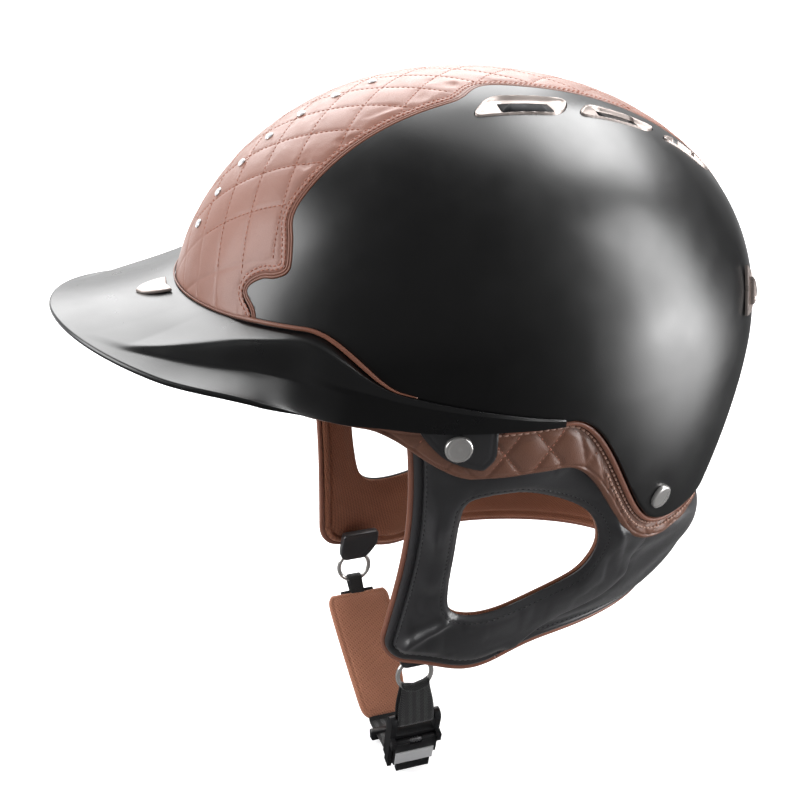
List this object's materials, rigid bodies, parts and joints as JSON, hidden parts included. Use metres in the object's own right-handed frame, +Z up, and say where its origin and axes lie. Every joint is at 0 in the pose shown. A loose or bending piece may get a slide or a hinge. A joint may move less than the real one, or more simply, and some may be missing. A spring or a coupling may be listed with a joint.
{
  "type": "riding helmet",
  "caption": "Riding helmet with a wide front brim, quilted leather crown panel, leather harness with ear cut-outs, and a chin strap with quick-release buckle.",
  "frame": {"origin": "where the crown of the wearer's head meets the crown pad, inside the top of the helmet", "axes": "+Z up through the crown, the brim points to -Y, +X to the wearer's left"},
  "size_m": [0.228, 0.347, 0.3556],
  "materials": {
    "shell_paint": "satin",
    "panel_leather": "quilted, satin",
    "piping_leather": "satin",
    "crystal": "faceted",
    "bright_trim": "polished",
    "bezel_metal": "satin",
    "screen_wire": "woven",
    "liner_foam": "moulded foam",
    "mesh_fabric": "knitted mesh",
    "skirt_leather": "quilted, satin",
    "black_leather": "satin",
    "nickel": "polished",
    "webbing": "woven",
    "buckle_plastic": "satin",
    "pin_steel": "plain"
  },
  "bodies": {
    "helmet": {"outer_shell": "shell_paint", "crown_panel": "panel_leather", "panel_piping_left": "piping_leather", "panel_piping_right": "piping_leather", "crystals": "crystal", "brim": "shell_paint", "brim_piping": "piping_leather", "front_badge": "bright_trim", "rear_badges": "bright_trim", "vent_bezel_front_left": "bezel_metal", "vent_bezel_mid_left": "bezel_metal", "vent_bezel_rear_left": "bezel_metal", "vent_bezel_front_right": "bezel_metal", "vent_bezel_mid_right": "bezel_metal", "vent_bezel_rear_right": "bezel_metal", "vent_screen_left": "screen_wire", "vent_screen_right": "screen_wire", "impact_liner": "liner_foam", "head_band": "mesh_fabric", "crown_pad": "mesh_fabric", "skirt": "skirt_leather", "skirt_welt": "piping_leather", "flap_left": "black_leather", "flap_right": "black_leather", "flap_lining_left": "mesh_fabric", "flap_lining_right": "mesh_fabric", "flap_piping_left": "piping_leather", "flap_piping_right": "piping_leather", "neck_band": "black_leather", "neck_lining": "mesh_fabric", "neck_piping": "piping_leather", "anchor_tab_left": "black_leather", "anchor_tab_right": "black_leather", "front_rivets": "nickel", "rear_rivets": "nickel", "ring_tab_left": "black_leather", "ring_tab_right": "black_leather"},
    "left_strap": {"ring_left": "nickel", "buckle_webbing": "webbing", "buckle_body": "buckle_plastic", "lever_pin": "pin_steel", "lever_spring": "pin_steel"},
    "buckle_lever_body": {"buckle_lever": "buckle_plastic", "lever_plate": "bright_trim"},
    "right_ring_body": {"ring_right": "nickel"},
    "right_strap": {"chin_pad": "mesh_fabric", "chin_webbing": "webbing", "strap_slider": "buckle_plastic", "buckle_plug": "buckle_plastic"}
  },
  "joints": [
    {"name": "left_ring_swing", "type": "hinge", "parent": "helmet", "child": "left_strap", "pos_m": [0.054, -0.0345, -0.258], "axis": [1, 0, 0], "range_deg": [-35, 20]},
    {"name": "right_ring_swing", "type": "hinge", "parent": "helmet", "child": "right_ring_body", "pos_m": [-0.054, -0.0345, -0.258], "axis": [1, 0, 0], "range_deg": [-35, 20]},
    {"name": "strap_release", "type": "hinge", "parent": "right_ring_body", "child": "right_strap", "pos_m": [-0.054, -0.0345, -0.267], "axis": [0, 1, 0], "range_deg": [0, 55]},
    {"name": "lever_pivot", "type": "hinge", "parent": "left_strap", "child": "buckle_lever_body", "pos_m": [0.05604, -0.0345, -0.29803], "axis": [0, -1, 0], "range_deg": [0, 45], "stiffness_Nm_per_rad": 0.01}
  ],
  "couplings": [
    {"joint": "right_ring_swing", "follows": "left_ring_swing", "ratio": 1}
  ]
}
